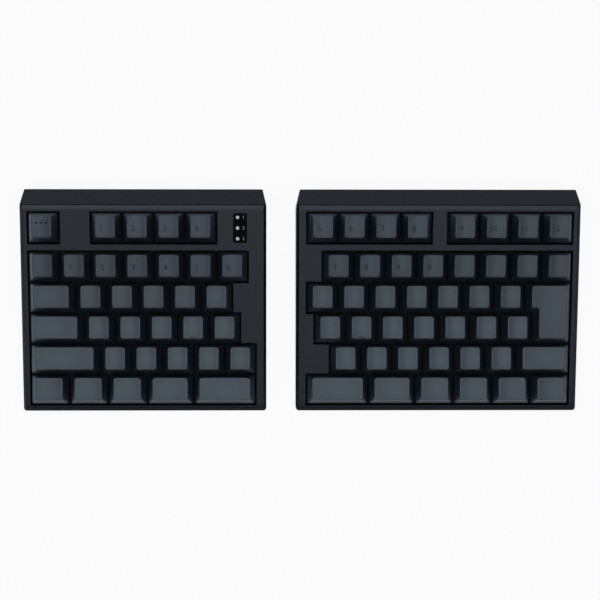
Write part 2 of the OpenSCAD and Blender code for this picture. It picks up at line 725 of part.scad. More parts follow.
case_c = [0.16, 0.17, 0.2];
cap_c = [0.27, 0.29, 0.33];
metal_c = [0.7, 0.7, 0.72];

module left_top_case() color(case_c) top_case(0);
module left_bottom_case() color(case_c) bottom_case(0);
module left_switch_plate() color(metal_c) switch_plate(0);
module left_circuit_board() color([0.1, 0.25, 0.15]) circuit_board(0);
module left_board_parts() color([0.1, 0.1, 0.1]) board_parts(0);
module left_switch_housings() color([0.08, 0.08, 0.09]) switch_housings(0);
module left_switch_springs() color(metal_c) switch_springs(0);
module left_stabilizers() color([0.1, 0.1, 0.1]) stabilizers(0);
module left_sockets() color(metal_c) deck(0) for (p = sockets[0]) socket(p);
module left_rubber_feet() color([0.05, 0.05, 0.05]) rubber_feet(0);
module left_case_screws() color(metal_c) case_screws(0);
module left_plate_screws() color(metal_c) plate_screws(0);
module left_outer_leg() color(case_c) leg(0, 0);
module left_inner_leg() color(case_c) leg(0, 1);
module right_top_case() color(case_c) top_case(1);
module right_bottom_case() color(case_c) bottom_case(1);
module right_switch_plate() color(metal_c) switch_plate(1);
module right_circuit_board() color([0.1, 0.25, 0.15]) circuit_board(1);
module right_board_parts() color([0.1, 0.1, 0.1]) board_parts(1);
module right_switch_housings() color([0.08, 0.08, 0.09]) switch_housings(1);
module right_switch_springs() color(metal_c) switch_springs(1);
module right_stabilizers() color([0.1, 0.1, 0.1]) stabilizers(1);
module right_socket() color(metal_c) deck(1) for (p = sockets[1]) socket(p);
module right_rubber_feet() color([0.05, 0.05, 0.05]) rubber_feet(1);
module right_case_screws() color(metal_c) case_screws(1);
module right_plate_screws() color(metal_c) plate_screws(1);
module right_inner_leg() color(case_c) leg(1, 0);
module right_outer_leg() color(case_c) leg(1, 1);

module escape_key() color(cap_c) deck(0) key(5, 0, 1);
module left_function_keys() color(cap_c) deck(0) keys(5, 2, [0:3]);
module left_number_keys() color(cap_c) deck(0) keys(4, 0, [0:6]);
module tab_key() color(cap_c) deck(0) key(3, 0, 1.5);
module left_upper_keys() color(cap_c) deck(0) keys(3, 1.5, [0:4]);
module lock_key() color(cap_c) deck(0) key(2, 0, 1.75);
module left_home_keys() color(cap_c) deck(0) keys(2, 1.75, [0, 1, 2, 4]);
module left_homing_key() color(cap_c) deck(0) key(2, 4.75, 1, bar = true);
module left_shift_key() color(cap_c) deck(0) key(1, 0, 2.25, pair = true);
module left_lower_keys() color(cap_c) deck(0) keys(1, 2.25, [0:4]);
module left_bottom_key_1() color(cap_c) deck(0) key(0, 0, 1.25);
module left_bottom_key_2() color(cap_c) deck(0) key(0, 1.25, 1.25);
module left_bottom_key_3() color(cap_c) deck(0) key(0, 2.5, 1.25);
module left_bottom_key_4() color(cap_c) deck(0) key(0, 3.75, 1.5);
module left_space_key() color(cap_c) deck(0) key(0, 5.25, 2, pair = true);
module right_inner_function_keys() color(cap_c) deck(1) keys(5, 0, [0:3]);
module right_outer_function_keys() color(cap_c) deck(1) keys(5, 4.5, [0:3]);
module right_number_keys() color(cap_c) deck(1) keys(4, 0.5, [0:7]);
module right_upper_keys() color(cap_c) deck(1) keys(3, 0, [0:6]);
module enter_key() color(cap_c) deck(1) return_key();
module right_home_keys() color(cap_c) deck(1) keys(2, 0.25, [0, 2, 3, 4, 5, 6]);
module right_homing_key() color(cap_c) deck(1) key(2, 1.25, 1, bar = true);
module right_lower_keys() color(cap_c) deck(1) keys(1, 0.75, [0:5]);
module right_shift_key() color(cap_c) deck(1) key(1, 6.75, 1.75);
module right_space_key() color(cap_c) deck(1) key(0, 0, 2, pair = true);
module right_bottom_key_2() color(cap_c) deck(1) key(0, 2, 1.5);
module right_bottom_key_3() color(cap_c) deck(1) key(0, 3.5, 1.25);
module right_bottom_key_4() color(cap_c) deck(1) key(0, 4.75, 1.25);
module right_bottom_key_5() color(cap_c) deck(1) key(0, 6, 1.25);
module right_bottom_key_6() color(cap_c) deck(1) key(0, 7.25, 1.25);

left_top_case();
left_bottom_case();
left_switch_plate();
left_circuit_board();
left_board_parts();
left_switch_housings();
left_switch_springs();
left_stabilizers();
left_sockets();
left_rubber_feet();
left_case_screws();
left_plate_screws();
color([0.02, 0.02, 0.03]) indicator_window();
color([0.95, 0.95, 0.95]) indicator_light_guides();
left_outer_leg();
left_inner_leg();
right_top_case();
right_bottom_case();
right_switch_plate();
right_circuit_board();
right_board_parts();
right_switch_housings();
right_switch_springs();
right_stabilizers();
right_socket();
right_rubber_feet();
right_case_screws();
right_plate_screws();
right_inner_leg();
right_outer_leg();
escape_key();
left_function_keys();
left_number_keys();
tab_key();
left_upper_keys();
lock_key();
left_home_keys();
left_homing_key();
left_shift_key();
left_lower_keys();
left_bottom_key_1();
left_bottom_key_2();
left_bottom_key_3();
left_bottom_key_4();
left_space_key();
right_inner_function_keys();
right_outer_function_keys();
right_number_keys();
right_upper_keys();
enter_key();
right_home_keys();
right_homing_key();
right_lower_keys();
right_shift_key();
right_space_key();
right_bottom_key_2();
right_bottom_key_3();
right_bottom_key_4();
right_bottom_key_5();
right_bottom_key_6();
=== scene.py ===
# %% [markdown]
# # Dressing a split keyboard
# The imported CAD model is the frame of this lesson: every part arrives in metres, at its real place,
# and stays there. Blender adds what a camera looks for: rounded keycaps with dished tops, soft case
# edges, printed marks, and a finish for each kind of plastic, metal and rubber.

# %% Load the frame
import json
import math

import bmesh
import bpy
import numpy as np
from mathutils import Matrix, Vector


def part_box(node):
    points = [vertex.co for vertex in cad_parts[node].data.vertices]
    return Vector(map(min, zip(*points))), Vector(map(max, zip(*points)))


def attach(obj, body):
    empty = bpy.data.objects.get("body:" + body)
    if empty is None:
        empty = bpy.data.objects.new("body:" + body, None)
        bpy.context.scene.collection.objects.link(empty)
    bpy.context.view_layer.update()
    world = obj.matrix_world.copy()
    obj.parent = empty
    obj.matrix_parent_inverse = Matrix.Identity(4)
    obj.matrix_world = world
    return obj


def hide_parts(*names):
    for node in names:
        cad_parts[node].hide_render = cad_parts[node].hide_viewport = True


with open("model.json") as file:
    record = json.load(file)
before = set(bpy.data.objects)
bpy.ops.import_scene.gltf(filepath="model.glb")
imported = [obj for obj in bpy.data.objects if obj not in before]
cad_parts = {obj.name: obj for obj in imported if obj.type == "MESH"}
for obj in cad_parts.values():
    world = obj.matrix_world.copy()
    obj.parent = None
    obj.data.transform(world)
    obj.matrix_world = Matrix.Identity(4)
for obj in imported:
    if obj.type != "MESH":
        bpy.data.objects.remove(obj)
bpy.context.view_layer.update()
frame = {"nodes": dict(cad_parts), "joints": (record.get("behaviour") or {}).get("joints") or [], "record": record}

nodes = frame["nodes"]
scene = bpy.context.scene
mm = 0.001

# %% [markdown]
# ## The camera
# The photograph was taken from nearly straight above with a long lens. Its key edges and case
# edges, set against the CAD sizes, give the camera's place, its lean and its focal length in pixels.
# The lens in millimetres follows from the sensor width, so the picture is framed as the photograph is.

# %% Make the camera
photo_px = 600
sensor_width = 36.0
focal_px = 1738.9
camera_place = (-0.02166, 0.02495, 1.08987)
camera_turn = (-1.317, -1.143, 0.036)

camera_data = bpy.data.cameras.new("camera")
camera_data.sensor_width = sensor_width
camera_data.lens = focal_px / photo_px * sensor_width
camera = bpy.data.objects.new("camera", camera_data)
camera.location = camera_place
camera.rotation_euler = [math.radians(a) for a in camera_turn]
scene.collection.objects.link(camera)
scene.camera = camera
print("lens in mm:", round(camera_data.lens, 1))

# %% [markdown]
# ## The stage
# A light table: a white floor, a broad panel overhead, another behind, and narrow strips of light that
# lie along the floor on all four sides, as a bright table would give. The panels hang where flat tops and
# the back facet mirror them, so those get their sheen, while the steep sides between the keys mirror only
# each other and stay dark. The strips lie below the deck and reach just the outermost faces, and they
# spare the floor, so that it stays even. The right strip lies further out, clear of the half that slides.
# The floor shows white to the camera, to reflections and through clear parts, but a small share of its
# real shading stays, so the keyboard keeps its shadow. Far out it curves up into a low wall, so a low view
# is white too.

# %% Floor, sky and lamps
scene.view_settings.view_transform = "Standard"
floor_flat, floor_reach, wall_curve, wall_top = 2.0, 3.4, 0.6, 1.1
floor_tone, floor_white = 0.86, 0.92
floor_turns, bend_steps = 72, 9
sky_stops = [(0.0, 0.04), (0.4, 0.05), (1.0, 0.07)]
strip_length, strip_height = 0.9, 0.010
# Side, azimuth in degrees, distance in metres and glow of each strip.
strips = [("right", 0, 0.46, 1.9), ("back", 90, 0.40, 0.6), ("left", 180, 0.255, 5.0),
          ("front", 270, 0.165, 3.0)]
# Name, azimuth, elevation, distance, width, height and glow of each panel.
panels = [("panel_overhead", 262, 85, 1.7, 1.9, 1.0, 0.76), ("panel_back", 90, 28, 1.8, 1.4, 0.45, 0.09)]


def node_link(tree, source, target):
    """Join an output socket to an input socket."""
    tree.links.new(source, target)


def make_floor():
    """A disc at height 0 that curves up into a low round wall: rings (r cos t, r sin t, z) whose r and z
    follow a flat run, a quarter arc and a straight rise. It shows white to the camera and keeps a
    shadow."""
    bend = np.radians(np.linspace(0, 90, bend_steps))
    reach = np.array([floor_flat, *(floor_reach + wall_curve * np.sin(bend)), floor_reach + wall_curve])
    rise = np.array([0.0, *(wall_curve * (1 - np.cos(bend))), wall_top])
    turn = np.linspace(0, 2 * np.pi, floor_turns, endpoint=False)
    rings = np.stack([reach[:, None] * np.cos(turn), reach[:, None] * np.sin(turn),
                      np.repeat(rise[:, None], len(turn), 1)], -1)
    index = np.arange(rings[..., 0].size).reshape(rings.shape[:2])
    after = np.roll(index, -1, 1)
    quads = np.stack([index[:-1], index[1:], after[1:], after[:-1]], -1).reshape(-1, 4)
    mesh = bpy.data.meshes.new("floor")
    mesh.from_pydata(rings.reshape(-1, 3).tolist(), [], [index[0].tolist(), *quads.tolist()])
    floor = bpy.data.objects.new("floor", mesh)
    scene.collection.objects.link(floor)
    mat = bpy.data.materials.new("light_table")
    mat.use_nodes = True
    tree = mat.node_tree
    paint = tree.nodes["Principled BSDF"]
    paint.inputs["Base Color"].default_value = (floor_tone, floor_tone, floor_tone, 1)
    paint.inputs["Roughness"].default_value = 0.9
    paint.inputs["Specular IOR Level"].default_value = 0.0
    glow = tree.nodes.new("ShaderNodeEmission")
    path = tree.nodes.new("ShaderNodeLightPath")
    seen = tree.nodes.new("ShaderNodeMath")
    seen.operation = "MAXIMUM"
    node_link(tree, path.outputs["Is Camera Ray"], seen.inputs[0])
    node_link(tree, path.outputs["Is Glossy Ray"], seen.inputs[1])
    through = tree.nodes.new("ShaderNodeMath")
    through.operation = "MAXIMUM"
    node_link(tree, seen.outputs[0], through.inputs[0])
    node_link(tree, path.outputs["Is Transmission Ray"], through.inputs[1])
    share = tree.nodes.new("ShaderNodeMath")
    share.operation = "MULTIPLY"
    share.inputs[1].default_value = floor_white
    node_link(tree, through.outputs[0], share.inputs[0])
    mix = tree.nodes.new("ShaderNodeMixShader")
    node_link(tree, share.outputs[0], mix.inputs[0])
    node_link(tree, paint.outputs[0], mix.inputs[1])
    node_link(tree, glow.outputs[0], mix.inputs[2])
    node_link(tree, mix.outputs[0], tree.nodes["Material Output"].inputs["Surface"])
    mesh.materials.append(mat)
    return floor


def make_sky(stops):
    """A world whose grey depends on the height of the direction: (sine of the elevation, grey) stops."""
    world = bpy.data.worlds.new("sky")
    world.use_nodes = True
    tree = world.node_tree
    coords = tree.nodes.new("ShaderNodeTexCoord")
    split = tree.nodes.new("ShaderNodeSeparateXYZ")
    ramp = tree.nodes.new("ShaderNodeValToRGB")
    node_link(tree, coords.outputs["Generated"], split.inputs[0])
    node_link(tree, split.outputs["Z"], ramp.inputs[0])
    node_link(tree, ramp.outputs[0], tree.nodes["Background"].inputs["Color"])
    ramp.color_ramp.elements.remove(ramp.color_ramp.elements[0])
    for i, (height, grey) in enumerate(stops):
        stop = ramp.color_ramp.elements[0] if i == 0 else ramp.color_ramp.elements.new(height)
        stop.position = height
        stop.color = (grey, grey, grey, 1)
    scene.world = world


def soft_box(name, azimuth, elevation, distance, width, height, glow, mirrored):
    """A rectangular lamp on a circle round the keyboard, turned to face its middle. Its glow is the
    brightness that it would give a white card held square to it."""
    lamp = bpy.data.lights.new(name, "AREA")
    lamp.shape = "RECTANGLE"
    lamp.size = width
    lamp.size_y = height
    lamp.energy = glow * math.pi ** 2 * distance ** 2
    holder = bpy.data.objects.new(name, lamp)
    a, e = math.radians(azimuth), math.radians(elevation)
    holder.location = (distance * math.cos(e) * math.cos(a), distance * math.cos(e) * math.sin(a),
                       distance * math.sin(e))
    holder.rotation_euler = (math.pi / 2 - e, 0, a + math.pi / 2)
    holder.visible_camera = False
    holder.visible_glossy = mirrored
    scene.collection.objects.link(holder)
    return holder


def spare(lamp, thing):
    """Let a lamp light everything but one object."""
    group = bpy.data.collections.new(lamp.name + "_spares")
    group.objects.link(thing)
    lamp.light_linking.receiver_collection = group
    group.collection_objects[0].light_linking.link_state = "EXCLUDE"


floor = make_floor()
make_sky(sky_stops)
for side, azimuth, away, glow in strips:
    angle = math.degrees(math.asin(strip_height / 2 / away))
    spare(soft_box("strip_" + side, azimuth, angle, away, strip_length, strip_height, glow, False), floor)
for panel in panels:
    soft_box(*panel, True)

# %% [markdown]
# ## Finishes
# Moulded plastic is never one colour. A slow mottle shifts the tone a little from key to key, and a
# fine grain, far smaller than a millimetre, breaks up the gloss and raises tiny bumps. Each finish is a
# small tree of nodes on Object coordinates, so it stays with the part at every pose.

# %% A helper for grainy finishes
noise_range = (0.3, 0.7)
slow_detail, fine_detail = 4.0, 2.0
grain_strength = 0.6
cool_sheen, cap_sheen = (0.72, 0.84, 1.0), (0.70, 0.86, 1.0)


def noise(tree, coords, scale, detail):
    """A Noise texture on the given coordinates, with scale in waves per metre."""
    tex = tree.nodes.new("ShaderNodeTexNoise")
    tex.inputs["Scale"].default_value = scale
    tex.inputs["Detail"].default_value = detail
    node_link(tree, coords, tex.inputs["Vector"])
    return tex.outputs["Fac"]


def ramp(tree, fac, dark, light):
    """Turn a noise factor into a colour between two tones."""
    node = tree.nodes.new("ShaderNodeValToRGB")
    for stop, place, tone in zip(node.color_ramp.elements, noise_range, (dark, light)):
        stop.position = place
        stop.color = (*tone, 1)
    node_link(tree, fac, node.inputs[0])
    return node.outputs[0]


def map_range(tree, value, source, target):
    """Turn a number between the two source values into one between the two target values."""
    node = tree.nodes.new("ShaderNodeMapRange")
    for key, number in zip(("From Min", "From Max", "To Min", "To Max"), (*source, *target)):
        node.inputs[key].default_value = number
    node_link(tree, value, node.inputs[0])
    return node.outputs[0]


def spread(tree, fac, low, high):
    """Turn a noise factor into a number between low and high."""
    return map_range(tree, fac, noise_range, (low, high))


def bump(tree, height, depth):
    """A Bump node whose full height is depth, in metres."""
    node = tree.nodes.new("ShaderNodeBump")
    node.inputs["Strength"].default_value = grain_strength
    node.inputs["Distance"].default_value = depth
    node_link(tree, height, node.inputs["Height"])
    return node.outputs["Normal"]


def grainy(name, tone, vary, rough, grain, depth, metal=0.0, gloss=0.5, mottle=45.0, sheen=(1, 1, 1)):
    """A grainy finish: tone times (1 - vary) to (1 + vary) by a slow mottle, roughness over a range,
    bumps of the given depth from a fine grain, and a tint for the gloss."""
    mat = bpy.data.materials.new(name)
    mat.use_nodes = True
    tree = mat.node_tree
    shader = tree.nodes["Principled BSDF"]
    coords = tree.nodes.new("ShaderNodeTexCoord").outputs["Object"]
    slow = noise(tree, coords, mottle, slow_detail)
    fine = noise(tree, coords, grain, fine_detail)
    tone = np.array(tone)
    colour = ramp(tree, slow, tone * (1 - vary), tone * (1 + vary))
    node_link(tree, colour, shader.inputs["Base Color"])
    node_link(tree, spread(tree, fine, *rough), shader.inputs["Roughness"])
    node_link(tree, bump(tree, fine, depth), shader.inputs["Normal"])
    shader.inputs["Metallic"].default_value = metal
    shader.inputs["Specular IOR Level"].default_value = gloss
    shader.inputs["Specular Tint"].default_value = (*sheen, 1)
    return mat


case_finish = grainy("satin_case", (0.0042, 0.0052, 0.0072), 0.10, (0.38, 0.48), 2600, 12e-6, gloss=0.22,
                     sheen=cool_sheen)
plate_finish = grainy("black_coated_steel", (0.0040, 0.0042, 0.0046), 0.2, (0.5, 0.65), 1500, 8e-6,
                      gloss=0.12, mottle=90)
housing_finish = grainy("switch_nylon", (0.0045, 0.0048, 0.0052), 0.2, (0.5, 0.65), 1800, 10e-6,
                        gloss=0.15)
spring_finish = grainy("spring_steel", (0.60, 0.58, 0.55), 0.1, (0.2, 0.35), 3000, 4e-6, metal=1.0)
stab_finish = grainy("stabilizer_nylon", (0.012, 0.013, 0.014), 0.2, (0.4, 0.55), 1800, 10e-6,
                     gloss=0.3)
socket_finish = grainy("plated_socket", (0.55, 0.55, 0.57), 0.1, (0.22, 0.38), 2500, 5e-6, metal=1.0)
foot_finish = grainy("foot_rubber", (0.022, 0.022, 0.024), 0.25, (0.75, 0.9), 1400, 40e-6, gloss=0.2)
screw_finish = grainy("zinc_screw", (0.42, 0.42, 0.44), 0.15, (0.25, 0.45), 2200, 6e-6, metal=1.0)
black_screw_finish = grainy("black_screw", (0.006, 0.006, 0.0066), 0.2, (0.45, 0.6), 2200, 6e-6,
                            gloss=0.15)
leg_finish = grainy("leg_plastic", (0.0130, 0.0155, 0.0200), 0.12, (0.45, 0.6), 2200, 22e-6, gloss=0.28)
chip_finish = grainy("chip_resin", (0.025, 0.025, 0.027), 0.2, (0.5, 0.65), 2600, 8e-6, gloss=0.35)
print("finishes:", len(bpy.data.materials))

# %% [markdown]
# ## Deck coordinates
# Every key stands on a deck that tilts towards the typist. A key's own shape is easiest to write down
# on that deck: u runs along a row, v up the deck and w off it. The press axis of any key in the record
# is the deck's normal, so the tilt is read from the frame and never typed in twice.

# %% Between the deck and the world
press = next(j for j in frame["joints"] if j["name"] == "escape_key_press")
deck_sin, deck_cos = press["axis"][1], -press["axis"][2]
body_of = {n: b for b, names in frame["record"]["behaviour"]["bodies"].items() for n in names}


def to_world(u, v, w):
    """Deck to world: a turn about X by the tilt, so y = v cos - w sin and z = v sin + w cos."""
    return np.stack([u, v * deck_cos - w * deck_sin, v * deck_sin + w * deck_cos], -1)


def deck_points(node):
    """All points of a CAD part in deck coordinates."""
    mesh = nodes[node].data
    flat = np.empty(len(mesh.vertices) * 3, np.float32)
    mesh.vertices.foreach_get("co", flat)
    x, y, z = flat.reshape(-1, 3).T.astype(float)
    return np.stack([x, y * deck_cos + z * deck_sin, z * deck_cos - y * deck_sin], 1)


def deck_box(node):
    """Lowest and highest deck coordinates of a CAD part."""
    points = deck_points(node)
    return points.min(0), points.max(0)


print("deck tilt in degrees:", round(math.degrees(math.asin(deck_sin)), 2))

# %% [markdown]
# ## Surfaces from arrays
# A closed surface here is a stack of rings: the same number of points in each, joined ring to ring by
# quads and shut by a fan of triangles at each end. One small function turns any such stack into points
# and faces, and another puts several of them into one mesh.

# %% Stacks of rings
crease = math.radians(35)


def closed_stack(rings, first, last):
    """Points and faces of rings (R, N, 3) joined in order, with a pole point at each end."""
    count, around = rings.shape[:2]
    index = np.arange(count * around).reshape(count, around)
    turn = np.roll(index, -1, 1)
    quads = np.stack([index[:-1], index[1:], turn[1:], turn[:-1]], -1).reshape(-1, 4)
    head = np.full(around, count * around)
    fan = np.stack([head, index[0], turn[0]], -1)
    foot = np.stack([head + 1, turn[-1], index[-1]], -1)
    points = np.concatenate([rings.reshape(-1, 3), [first, last]])
    return points, [*quads.tolist(), *fan.tolist(), *foot.tolist()]


def prism(outline, low, high):
    """A straight bar with the given outline (N, 2), from one height to another."""
    count = len(outline)
    ends = [np.column_stack([outline, np.full(count, w)]) for w in (low, high)]
    i = np.arange(count)
    j = np.roll(i, -1)
    walls = np.stack([i, j, j + count, i + count], -1).tolist()
    return np.concatenate(ends), [*walls, i[::-1].tolist(), (i + count).tolist()]


def join(surfaces):
    """Several (points, faces) pairs as one."""
    points, faces, start = [], [], 0
    for p, f in surfaces:
        points.append(p)
        faces += [[start + k for k in face] for face in f]
        start += len(p)
    return np.concatenate(points), faces


def new_piece(name, points, faces, finishes):
    """A mesh object at the origin, shaded smooth up to the crease angle, with its finishes."""
    mesh = bpy.data.meshes.new(name)
    mesh.from_pydata(points.tolist(), [], faces)
    mesh.polygons.foreach_set("use_smooth", np.ones(len(mesh.polygons), bool))
    mesh.set_sharp_from_angle(angle=crease)
    for finish in finishes:
        mesh.materials.append(finish)
    mesh.update()
    piece = bpy.data.objects.new(name, mesh)
    scene.collection.objects.link(piece)
    return piece


# %% [markdown]
# ## The keycap finish
# Keycaps are moulded with a fine pebbled skin. Fingers polish the middle of the top a little, so the
# roughness falls where the attribute "polish" says, and each cap came from the mould with a slightly
# different tone, which the attribute "tone" carries.

# %% Pebbled keycap plastic
cap_tone = np.array([0.0094, 0.0120, 0.0172])
polish_smoother = -0.03


def keycap_plastic():
    """Pebbled plastic: base tone by mottle and cap, roughness by grain and polish, bumps by the grain."""
    mat = grainy("keycap_plastic", cap_tone, 0.06, (0.43, 0.55), 1900, 22e-6, gloss=0.645, mottle=120,
                 sheen=cap_sheen)
    tree = mat.node_tree
    shader = tree.nodes["Principled BSDF"]
    tone = tree.nodes.new("ShaderNodeAttribute")
    tone.attribute_name = "tone"
    base = shader.inputs["Base Color"].links[0].from_socket
    scaled = tree.nodes.new("ShaderNodeVectorMath")
    scaled.operation = "SCALE"
    node_link(tree, base, scaled.inputs[0])
    node_link(tree, tone.outputs["Fac"], scaled.inputs["Scale"])
    node_link(tree, scaled.outputs[0], shader.inputs["Base Color"])
    polish = tree.nodes.new("ShaderNodeAttribute")
    polish.attribute_name = "polish"
    worn = tree.nodes.new("ShaderNodeMath")
    worn.operation = "MULTIPLY_ADD"
    worn.inputs[1].default_value = polish_smoother
    node_link(tree, polish.outputs["Fac"], worn.inputs[0])
    node_link(tree, shader.inputs["Roughness"].links[0].from_socket, worn.inputs[2])
    node_link(tree, worn.outputs[0], shader.inputs["Roughness"])
    return mat


cap_finish = keycap_plastic()
stem_finish = grainy("stem_nylon", (0.006, 0.006, 0.007), 0.15, (0.35, 0.5), 1800, 8e-6, gloss=0.35)
mark_finish = grainy("mark_dye", cap_tone * 0.6, 0.1, (0.46, 0.58), 1900, 10e-6, gloss=0.40,
                     sheen=cap_sheen)
dark_mark_finish = grainy("mark_dye_dark", cap_tone * 0.4, 0.1, (0.46, 0.58), 1900, 10e-6, gloss=0.22,
                          sheen=cap_sheen)
strip_mark_finish = grainy("strip_print", (0.26, 0.265, 0.27), 0.1, (0.5, 0.6), 1900, 5e-6, gloss=0.3)
print("keycap tone:", cap_tone.tolist())

# %% [markdown]
# ## Sculpted keycaps
# A cap is a hollow shell that leans in towards its top. Its height and the slope of its top change
# from row to row, and the top is scooped by a shallow trough so that the finger finds its middle. In CAD
# the cap is a loft with few faces; here the same loft gets round corners and a rolled edge.

# %% Keycap shapes
unit = 19.05 * mm
cap_gap = 0.95 * mm
lean_side, lean_front, lean_back = 3.05 * mm, 4.2 * mm, 0.2 * mm
cap_wall, cap_roof = 1.3 * mm, 1.5 * mm
dish = 0.6 * mm
trough_margin = 0.3 * mm
roll = 0.45 * mm
roof_in, roof_drop = 0.7 * cap_wall, cap_roof + 0.2 * dish
rim_corner, top_corner = 0.8 * mm, 1.6 * mm
corner_steps, edge_steps = 7, 8
top_shares = (0.1, 0.35, 0.6, 0.82, 0.95)
roll_turns = np.radians([90, 67.5, 45, 22.5, 0])
side_shares = (0.94, 0.55, 0.06, 0.0)
stepped_shift = np.array([1.5, 4.0]) * mm
row_height = np.array([8.5, 8.4, 8.6, 9.3, 10.8, 10.8]) * mm
row_slope = np.tan(np.radians([-9, -8, -5, -1, 3, 3]))


def rounded(corners, radius):
    """A closed outline with round corners: at corner p with unit edges a and b, the quarter arc
    p + r a (1 - sin t) + r b (1 - cos t), then evenly spaced points along the straight run that follows."""
    before = np.roll(corners, 1, 0) - corners
    after = np.roll(corners, -1, 0) - corners
    before = before / np.linalg.norm(before, axis=1, keepdims=True)
    after = after / np.linalg.norm(after, axis=1, keepdims=True)
    t = np.linspace(0, np.pi / 2, corner_steps)[None, :, None]
    pull = before[:, None] * (1 - np.sin(t)) + after[:, None] * (1 - np.cos(t))
    arcs = corners[:, None] + radius * pull
    share = np.linspace(0, 1, edge_steps + 2)[None, 1:-1, None]
    runs = arcs[:, -1:] * (1 - share) + np.roll(arcs[:, :1], -1, 0) * share
    return np.concatenate([arcs, runs], 1).reshape(-1, 2)


def cap_corners(edges, side, front, back):
    """Corners of a cap's outline, drawn in at the sides, front and back. Four edges make a rectangle,
    six a stepped cap: left, right, front, back, height of the step, left edge above the step."""
    left, right, low, high = edges[:4]
    if len(edges) == 4:
        spots = [(left + side, low + front), (right - side, low + front), (right - side, high - back),
                 (left + side, high - back)]
    else:
        step, upper = edges[4:]
        spots = [(left + side, step + front), (left + side, low + front), (right - side, low + front),
                 (right - side, high - back), (upper + side, high - back), (upper + side, step + front)]
    return np.array(spots)


def cap_top(edges, row):
    """The height of a cap's top over its rim at u, v: a sloped plane less a trough, plus its middle."""
    left = min(edges[0], edges[-1]) if len(edges) > 4 else edges[0]
    middle_u = (left + edges[1]) / 2
    middle_v = (edges[2] + lean_front + edges[3] - lean_back) / 2
    half = edges[1] - lean_side - roll - trough_margin - middle_u

    def height(points):
        """Row height plus slope times distance up the deck, less the trough."""
        u, v = points[..., 0], points[..., 1]
        trough = dish * np.clip(1 - ((u - middle_u) / half) ** 2, 0, None)
        return row_height[row] + (v - middle_v) * row_slope[row] - trough

    return height, np.array([middle_u, middle_v])


def keycap(edges, row):
    """A hollow cap as one stack of rings: out over the dished top, round the rolled edge, down the
    leaning sides to the rim, in under the wall and up to the roof inside."""
    height, middle = cap_top(edges, row)
    if len(edges) > 4:
        middle = np.array([middle[0], edges[4] + lean_front]) + stepped_shift
    lean = 1 - roll / row_height[row]

    def outline(share, extra, radius):
        """The cap's outline at a share of its lean, drawn in by extra, with round corners."""
        corners = cap_corners(edges, lean_side * share + extra, lean_front * share + extra,
                              lean_back * share + extra)
        return rounded(corners, radius)

    rings = []
    brim = outline(lean, roll, top_corner)
    for share in top_shares:
        flat = middle + (brim - middle) * share
        rings.append(np.column_stack([flat, height(flat)]))
    for turn in roll_turns:
        flat = outline(lean, roll * (1 - math.cos(turn)), top_corner)
        rings.append(np.column_stack([flat, height(flat) - roll * (1 - math.sin(turn))]))
    for share in side_shares:
        flat = outline(lean * share, 0, rim_corner + (top_corner - rim_corner) * share)
        rings.append(np.column_stack([flat, (height(flat) - roll) * share]))
    flat = outline(0, cap_wall, rim_corner)
    rings.append(np.column_stack([flat, np.zeros(len(flat))]))
    inner = cap_corners(edges, lean_side + roof_in, lean_front + roof_in, lean_back + cap_wall)
    roof = rounded(inner, rim_corner)
    rings.append(np.column_stack([roof, height(roof) - roof_drop]))
    pole_top = [*middle, height(middle)]
    pole_in = [*middle, height(middle) - cap_roof]
    return closed_stack(np.array(rings), pole_top, pole_in)


print("points round a cap:", 4 * (corner_steps + edge_steps))

# %% [markdown]
# ## Stems, posts and homing bars
# Under each cap a nylon stem slides in the switch. It ends in a cross that the cap is pressed on, and a
# bore from below takes in the spring as the key goes down. Long caps ride on two more stems. One cap in
# each home row carries a small raised bar for the finger.

# %% Small parts of a key
stem_foot = 0.4 * mm
rim_level = 6.0 * mm
stem_shoulder = 6.6 * mm
stem_tip = 10.2 * mm
stem_half = np.array([3.5, 2.9]) * mm
guide_half = np.array([2.0, 3.4]) * mm
bore_radius, bore_depth, side_steps = 2.35 * mm, 4.4 * mm, 8
cross_long, cross_thin = 2.0 * mm, 0.65 * mm
guide_offset = 11.94 * mm
bar_radius, bar_reach = 0.42 * mm, 1.6 * mm
bar_back, bar_sink = 0.8 * mm, 0.03 * mm
bar_sides, bar_rings = 12, 7


def rectangle(half_u, half_v):
    """Corners of a rectangle round the origin."""
    return np.array([(-half_u, -half_v), (half_u, -half_v), (half_u, half_v), (-half_u, half_v)])


def cross():
    """The twelve corners of an upright cross."""
    quarter = np.array([(cross_thin, -cross_long), (cross_thin, -cross_thin), (cross_long, -cross_thin)])
    turns = [np.array([[math.cos(a), math.sin(a)], [-math.sin(a), math.cos(a)]])
             for a in np.radians([0, 90, 180, 270])]
    return np.concatenate([quarter @ t for t in turns])


def bored_block(spot, half, low, high):
    """A block with a round bore from below: rings over the same angles t, on the rectangle at
    (cos t, sin t) / max(|cos t| / a, |sin t| / b) outside and on a circle inside."""
    corner = math.atan2(half[1], half[0])
    stops = [-corner, corner, math.pi - corner, math.pi + corner, 2 * math.pi - corner]
    t = np.concatenate([np.linspace(a, b, side_steps, endpoint=False)
                        for a, b in zip(stops[:-1], stops[1:])])
    way = np.stack([np.cos(t), np.sin(t)], 1)
    outer = spot + way / np.max(np.abs(way) / half, axis=1, keepdims=True)
    inner = spot + way * bore_radius
    rings = [(outer, high), (outer, low), (inner, low), (inner, low + bore_depth)]
    rings = np.array([np.column_stack([flat, np.full(len(t), w)]) for flat, w in rings])
    return closed_stack(rings, [*spot, high], [*spot, low + bore_depth])


def stem(spot, half, bored=False):
    """A sliding stem at a spot on the deck: a block with a cross on top, heights from the rim. The stem of
    a switch is bored from below, so that it goes down over its spring."""
    low, high = stem_foot - rim_level, stem_shoulder - rim_level
    block = bored_block(spot, half, low, high) if bored else prism(rectangle(*half) + spot, low, high)
    return [block, prism(cross() + spot, high, stem_tip - rim_level)]


